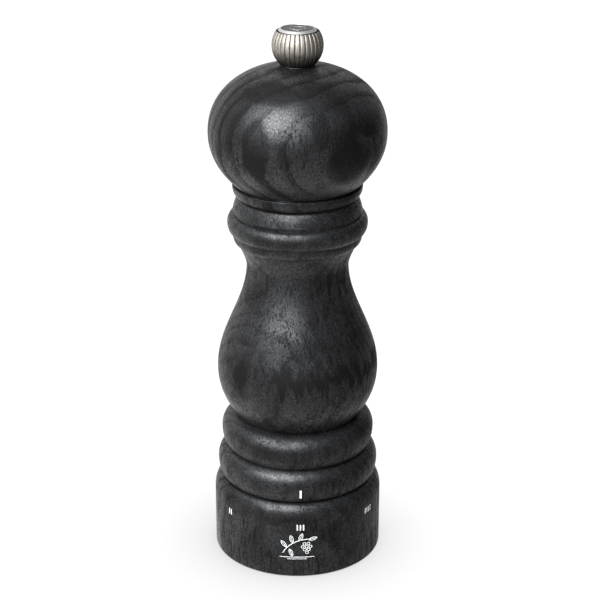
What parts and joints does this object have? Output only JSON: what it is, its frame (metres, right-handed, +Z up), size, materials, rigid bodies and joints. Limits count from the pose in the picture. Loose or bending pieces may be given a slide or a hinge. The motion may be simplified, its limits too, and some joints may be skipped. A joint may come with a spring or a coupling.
{
  "type": "pepper mill",
  "caption": "Classic turned wooden pepper mill: the head turns a square shaft and cone burr, the foot ring sets the grind, and a ribbed knob unscrews to fill it.",
  "frame": {"origin": "centre of the foot's underside, on the mill's axis", "axes": "+Z up the mill's axis towards the knob, -Y towards the index line on the front, +X to the right seen from the front"},
  "size_m": [0.0574, 0.0574, 0.18],
  "materials": {
    "graphite_wood": "satin",
    "black_plastic": "matte",
    "nickel": "satin",
    "zinc_steel": "satin",
    "burr_steel": "satin",
    "spring_steel": "satin",
    "brass": "satin",
    "bronze": "satin"
  },
  "bodies": {
    "body": {"body_shell": "graphite_wood", "mechanism_housing": "black_plastic", "bearing_bridge": "black_plastic", "bearing_bush": "bronze", "housing_screws": "zinc_steel", "click_spring": "spring_steel", "carrier_spring": "spring_steel"},
    "drive": {"drive_shaft": "zinc_steel", "male_burr": "burr_steel", "thrust_washer": "zinc_steel", "shaft_circlip": "spring_steel", "burr_clip": "spring_steel"},
    "head": {"head_shell": "graphite_wood", "drive_plate": "zinc_steel", "drive_plate_screws": "zinc_steel"},
    "knob_seat": {"knob_washer": "zinc_steel"},
    "knob": {"knob": "nickel", "knob_insert": "brass", "knob_disc": "nickel"},
    "adjuster": {"adjuster_ring": "graphite_wood", "adjuster_insert": "black_plastic", "base_cover": "black_plastic"},
    "carrier": {"burr_carrier": "black_plastic", "female_burr": "burr_steel"}
  },
  "joints": [
    {"name": "head_turn", "type": "hinge", "parent": "body", "child": "drive", "pos_m": [0, 0, 0.1], "axis": [0, 0, 1], "continuous": true},
    {"name": "head_lift", "type": "slide", "parent": "drive", "child": "head", "axis": [0, 0, 1], "range_m": [0, 0.062]},
    {"name": "knob_rise", "type": "slide", "parent": "head", "child": "knob_seat", "axis": [0, 0, 1], "range_m": [0, 0.0081]},
    {"name": "knob_turn", "type": "hinge", "parent": "knob_seat", "child": "knob", "pos_m": [0, 0, 0.174], "axis": [0, 0, 1], "range_deg": [0, 3600]},
    {"name": "grind_select", "type": "hinge", "parent": "body", "child": "adjuster", "pos_m": [0, 0, 0.01], "axis": [0, 0, 1], "range_deg": [-165, 110], "deforming": ["click_spring"]},
    {"name": "burr_travel", "type": "slide", "parent": "body", "child": "carrier", "axis": [0, 0, 1], "range_m": [-0.00062, 0.00092], "deforming": ["carrier_spring"]}
  ],
  "couplings": [
    {"joint": "knob_rise", "follows": "knob_turn", "m_per_rad": 0.00012732},
    {"joint": "burr_travel", "follows": "grind_select", "m_per_rad": -0.00031831}
  ]
}
